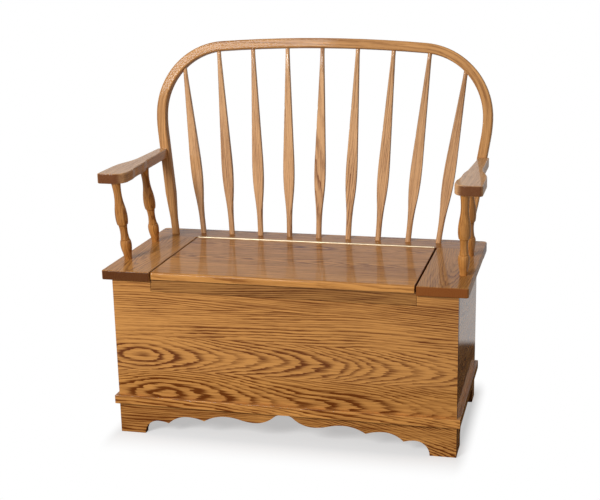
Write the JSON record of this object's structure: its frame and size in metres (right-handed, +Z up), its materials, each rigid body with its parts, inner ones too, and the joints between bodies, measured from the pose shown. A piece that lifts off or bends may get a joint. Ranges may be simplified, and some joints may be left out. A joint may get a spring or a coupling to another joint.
{
  "type": "deacons bench",
  "caption": "Wooden bench with a bent bow back of feather spindles, shaped arms on turned posts and a scalloped storage chest under a rear-hinged seat lid.",
  "frame": {"origin": "on the floor, under the centre of the bench's overall box", "axes": "+X from the left to the right seen from in front of the bench, +Y from the front to the back, +Z up"},
  "size_m": [1.012, 0.5416, 1.0196],
  "materials": {
    "oak": "stained and lacquered, glossy",
    "hinge_brass": "plated, satin"
  },
  "bodies": {
    "bench": {"front_panel": "oak", "side_panel_left": "oak", "side_panel_right": "oak", "back_panel": "oak", "floor_panel": "oak", "floor_cleat_front": "oak", "floor_cleat_back": "oak", "floor_cleat_left": "oak", "floor_cleat_right": "oak", "corner_block_left": "oak", "corner_block_right": "oak", "moulding_front": "oak", "moulding_left": "oak", "moulding_right": "oak", "seat_bearer_left": "oak", "seat_bearer_right": "oak", "lid_rest_left": "oak", "lid_rest_right": "oak", "seat_end_left": "oak", "seat_end_right": "oak", "rear_rail": "oak", "bow": "oak", "arm_dowel_left": "oak", "arm_dowel_right": "oak", "spindle_1": "oak", "spindle_2": "oak", "spindle_3": "oak", "spindle_4": "oak", "spindle_5": "oak", "spindle_6": "oak", "spindle_7": "oak", "spindle_8": "oak", "spindle_9": "oak", "arm_left": "oak", "arm_right": "oak", "arm_post_front_left": "oak", "arm_post_front_right": "oak", "arm_post_rear_left": "oak", "arm_post_rear_right": "oak", "hinge_leaf_rail": "hinge_brass", "hinge_pin": "hinge_brass"},
    "lid": {"lid_board": "oak", "lid_front_cleat": "oak", "lid_batten_left": "oak", "lid_batten_right": "oak", "hinge_leaf_lid": "hinge_brass"}
  },
  "joints": [
    {"name": "lid_hinge", "type": "hinge", "parent": "bench", "child": "lid", "pos_m": [0, 0.11024, 0.4578], "axis": [-1, 0, 0], "range_deg": [0, 104]}
  ]
}
